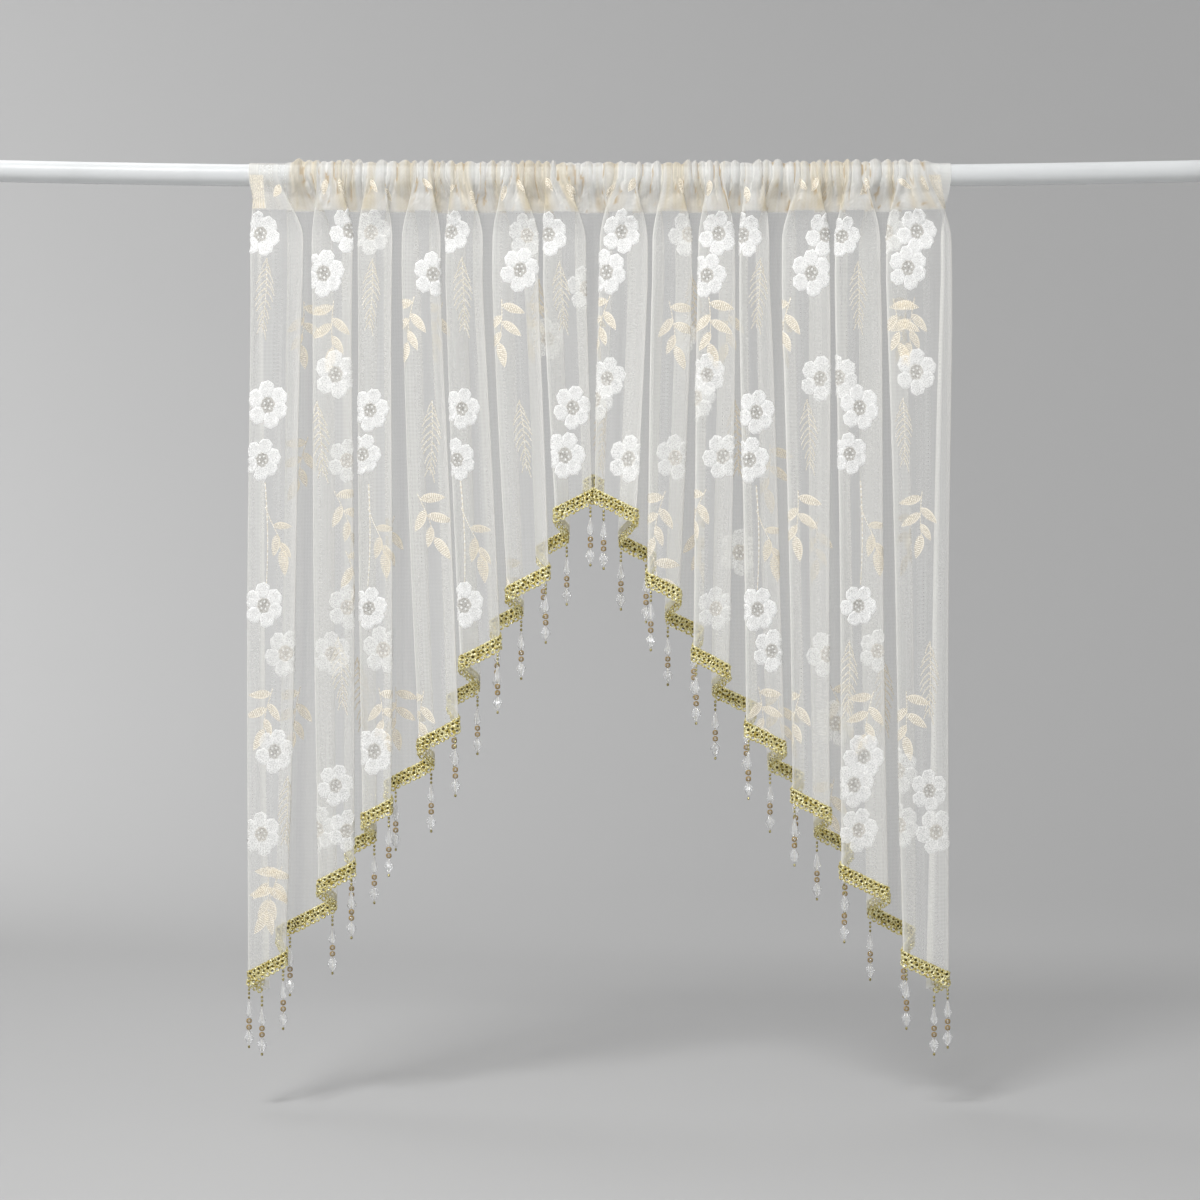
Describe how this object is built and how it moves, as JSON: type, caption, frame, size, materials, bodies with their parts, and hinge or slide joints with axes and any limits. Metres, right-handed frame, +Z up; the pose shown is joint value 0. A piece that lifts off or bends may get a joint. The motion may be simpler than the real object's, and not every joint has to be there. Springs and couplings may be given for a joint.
{
  "type": "sheer door curtain on rod",
  "caption": "Sheer embroidered door curtain gathered on a plain round rod, its lower edge cut to a deep V and trimmed with gold braid and hanging bead drops.",
  "frame": {"origin": "middle of the rod's axis, half way between its two ends", "axes": "+X along the rod to the viewer's right, +Y away from the viewer, +Z up; the curtain hangs below the rod"},
  "size_m": [1.4206, 0.0623, 1.0249],
  "materials": {
    "rod_paint": "white gloss paint",
    "sheer_cloth": "sheer white voile",
    "gold_braid": "metallic gold ring braid",
    "embroidery": "white and cream satin stitch",
    "crystal": "clear faceted beads",
    "amber_bead": "amber brown round beads"
  },
  "bodies": {
    "root": {"rod": "rod_paint", "curtain_panel": "sheer_cloth", "braid_left": "gold_braid", "braid_right": "gold_braid"}
  },
  "joints": []
}
